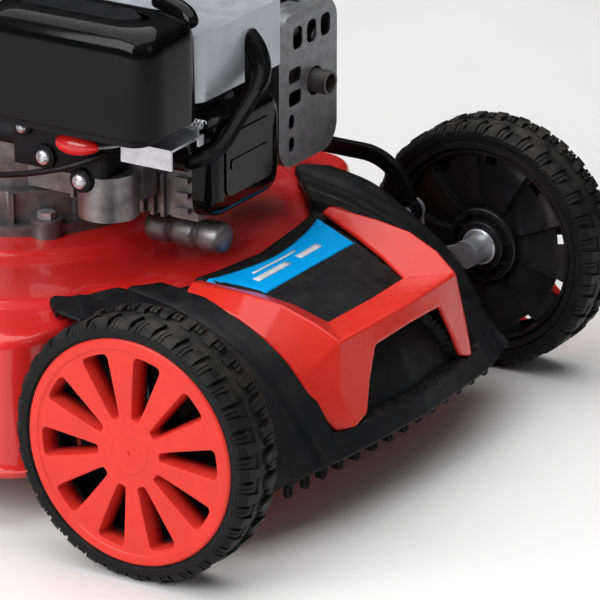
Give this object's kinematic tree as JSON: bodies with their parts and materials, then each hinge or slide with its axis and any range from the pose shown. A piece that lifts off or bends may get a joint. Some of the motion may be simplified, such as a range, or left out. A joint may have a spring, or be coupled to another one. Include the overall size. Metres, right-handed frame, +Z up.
{
  "type": "push lawn mower",
  "caption": "Walk-behind petrol lawn mower with a pressed steel deck, moulded nose cover, spoked wheels on linked cranked axles and a folding tube handle.",
  "frame": {"origin": "on the ground under the middle of the mower's bounding box", "axes": "+Z up, -Y forward, +X to the mower's left"},
  "size_m": [0.547, 1.3218, 1.0311],
  "materials": {
    "deck_paint": "gloss metallic",
    "black_moulding": "fine grain",
    "gloss_black": "gloss",
    "trim_red": "gloss",
    "wheel_red": "fine grain",
    "wheel_black": "satin",
    "tyre": "moulded tread",
    "cast_aluminium": "as cast",
    "zinc_steel": "zinc plated",
    "black_steel": "powder coat",
    "silver_paint": "satin metallic",
    "guard_steel": "satin",
    "dull_steel": "rolled",
    "lead_rubber": "satin",
    "filter_paper": "pleated",
    "ceramic": "glazed",
    "dipstick_yellow": "satin",
    "grip_foam": "foam"
  },
  "bodies": {
    "deck": {"deck": "deck_paint", "front_cover": "black_moulding", "front_trim": "trim_red", "front_comb": "black_moulding", "axle_bearings": "wheel_black", "engine_sump": "cast_aluminium", "engine_block": "cast_aluminium", "cylinder_head": "cast_aluminium", "rocker_cover": "gloss_black", "spark_plug": "ceramic", "plug_lead": "lead_rubber", "ignition_coil": "gloss_black", "fan_housing": "silver_paint", "air_cleaner_base": "black_moulding", "air_filter": "filter_paper", "intake_body": "black_moulding", "carburettor": "cast_aluminium", "control_bracket": "zinc_steel", "muffler": "dull_steel", "muffler_guard": "guard_steel", "fuel_tank": "black_moulding", "oil_filler_tube": "black_moulding", "engine_bolts": "zinc_steel", "handle_brackets": "black_steel", "handle_bolts": "zinc_steel", "stop_cable": "lead_rubber"},
    "air_cover": {"air_cleaner_cover": "gloss_black"},
    "throttle": {"throttle_lever": "trim_red"},
    "fuel_cap": {"fuel_cap": "black_moulding"},
    "dipstick": {"dipstick": "dipstick_yellow"},
    "crank": {"flywheel": "cast_aluminium", "crankshaft": "dull_steel", "blade_adapter": "dull_steel", "blade": "dull_steel", "blade_bolt": "zinc_steel"},
    "recoil_pulley": {"recoil_pulley": "black_moulding"},
    "starter_grip": {"starter_grip": "lead_rubber"},
    "front_axle": {"front_axle": "zinc_steel"},
    "rear_axle": {"rear_axle": "zinc_steel", "height_lever": "black_moulding"},
    "height_link": {"height_link": "black_steel"},
    "lower_handle": {"lower_handle": "black_steel"},
    "upper_handle": {"upper_handle": "black_steel"},
    "knob_right": {"fold_knob_right": "black_moulding"},
    "knob_left": {"fold_knob_left": "black_moulding"},
    "stop_bar": {"stop_bar": "black_steel"},
    "rear_flap": {"rear_flap": "black_moulding"},
    "front_right_wheel": {"front_right_tyre": "tyre", "front_right_rim": "wheel_black", "front_right_cap": "wheel_red"},
    "front_left_wheel": {"front_left_tyre": "tyre", "front_left_rim": "wheel_black", "front_left_cap": "wheel_red"},
    "rear_right_wheel": {"rear_right_tyre": "tyre", "rear_right_rim": "wheel_black", "rear_right_cap": "wheel_red"},
    "rear_left_wheel": {"rear_left_tyre": "tyre", "rear_left_rim": "wheel_black", "rear_left_cap": "wheel_red"}
  },
  "joints": [
    {"name": "front_axle_swing", "type": "hinge", "parent": "deck", "child": "front_axle", "pos_m": [0, -0.51919, 0.08314], "axis": [1, 0, 0], "range_deg": [-8, 40]},
    {"name": "rear_axle_swing", "type": "hinge", "parent": "deck", "child": "rear_axle", "pos_m": [0, 0.04081, 0.08314], "axis": [1, 0, 0], "range_deg": [-8, 40]},
    {"name": "height_link_swing", "type": "hinge", "parent": "front_axle", "child": "height_link", "pos_m": [0.2, -0.51319, 0.12914], "axis": [1, 0, 0], "range_deg": [-40, 8]},
    {"name": "front_right_wheel_spin", "type": "hinge", "parent": "front_axle", "child": "front_right_wheel", "pos_m": [-0.25, -0.56091, 0.1], "axis": [1, 0, 0], "continuous": true},
    {"name": "front_left_wheel_spin", "type": "hinge", "parent": "front_axle", "child": "front_left_wheel", "pos_m": [0.25, -0.56091, 0.1], "axis": [1, 0, 0], "continuous": true},
    {"name": "rear_right_wheel_spin", "type": "hinge", "parent": "rear_axle", "child": "rear_right_wheel", "pos_m": [-0.25, -0.00091, 0.1], "axis": [1, 0, 0], "continuous": true},
    {"name": "rear_left_wheel_spin", "type": "hinge", "parent": "rear_axle", "child": "rear_left_wheel", "pos_m": [0.25, -0.00091, 0.1], "axis": [1, 0, 0], "continuous": true},
    {"name": "crank_spin", "type": "hinge", "parent": "deck", "child": "crank", "pos_m": [0, -0.28291, 0.164], "axis": [0, 0, 1], "continuous": true},
    {"name": "recoil_pulley_spin", "type": "hinge", "parent": "deck", "child": "recoil_pulley", "pos_m": [0, -0.28291, 0.342], "axis": [0, 0, 1], "range_deg": [0, 170]},
    {"name": "starter_grip_pull", "type": "slide", "parent": "deck", "child": "starter_grip", "axis": [0, 1, 0], "range_m": [0, 0.14], "stiffness_N_per_m": 60, "springref_m": -0.02},
    {"name": "throttle_turn", "type": "hinge", "parent": "deck", "child": "throttle", "pos_m": [-0.112, -0.46691, 0.274], "axis": [0, 0, 1], "range_deg": [-6, 10]},
    {"name": "air_cleaner_cover_lift", "type": "slide", "parent": "deck", "child": "air_cover", "axis": [0, 0, 1], "range_m": [0, 0.12]},
    {"name": "fuel_cap_lift", "type": "slide", "parent": "deck", "child": "fuel_cap", "axis": [0, 0, 1], "range_m": [0, 0.04]},
    {"name": "dipstick_lift", "type": "slide", "parent": "deck", "child": "dipstick", "axis": [0, 0, 1], "range_m": [0, 0.15]},
    {"name": "lower_handle_tilt", "type": "hinge", "parent": "deck", "child": "lower_handle", "pos_m": [0, 0.02509, 0.2], "axis": [1, 0, 0], "range_deg": [-8, 8]},
    {"name": "upper_handle_fold", "type": "hinge", "parent": "lower_handle", "child": "upper_handle", "pos_m": [0, 0.30214, 0.55461], "axis": [1, 0, 0], "range_deg": [0, 120]},
    {"name": "fold_knob_right_turn", "type": "hinge", "parent": "lower_handle", "child": "knob_right", "pos_m": [-0.212, 0.30214, 0.55461], "axis": [1, 0, 0], "continuous": true},
    {"name": "fold_knob_left_turn", "type": "hinge", "parent": "lower_handle", "child": "knob_left", "pos_m": [0.212, 0.30214, 0.55461], "axis": [1, 0, 0], "continuous": true},
    {"name": "stop_bar_squeeze", "type": "hinge", "parent": "upper_handle", "child": "stop_bar", "pos_m": [0, 0.57919, 0.90921], "axis": [-1, 0, 0], "range_deg": [0, 25], "stiffness_Nm_per_rad": 2.5, "springref_deg": -34.38},
    {"name": "rear_flap_lift", "type": "hinge", "parent": "deck", "child": "rear_flap", "pos_m": [0, 0.06481, 0.146], "axis": [1, 0, 0], "range_deg": [0, 70], "stiffness_Nm_per_rad": 0.35, "springref_deg": -17.19}
  ],
  "couplings": [
    {"joint": "rear_axle_swing", "follows": "front_axle_swing", "ratio": 1},
    {"joint": "height_link_swing", "follows": "front_axle_swing", "ratio": -1},
    {"joint": "recoil_pulley_spin", "follows": "starter_grip_pull", "rad_per_m": 20}
  ]
}
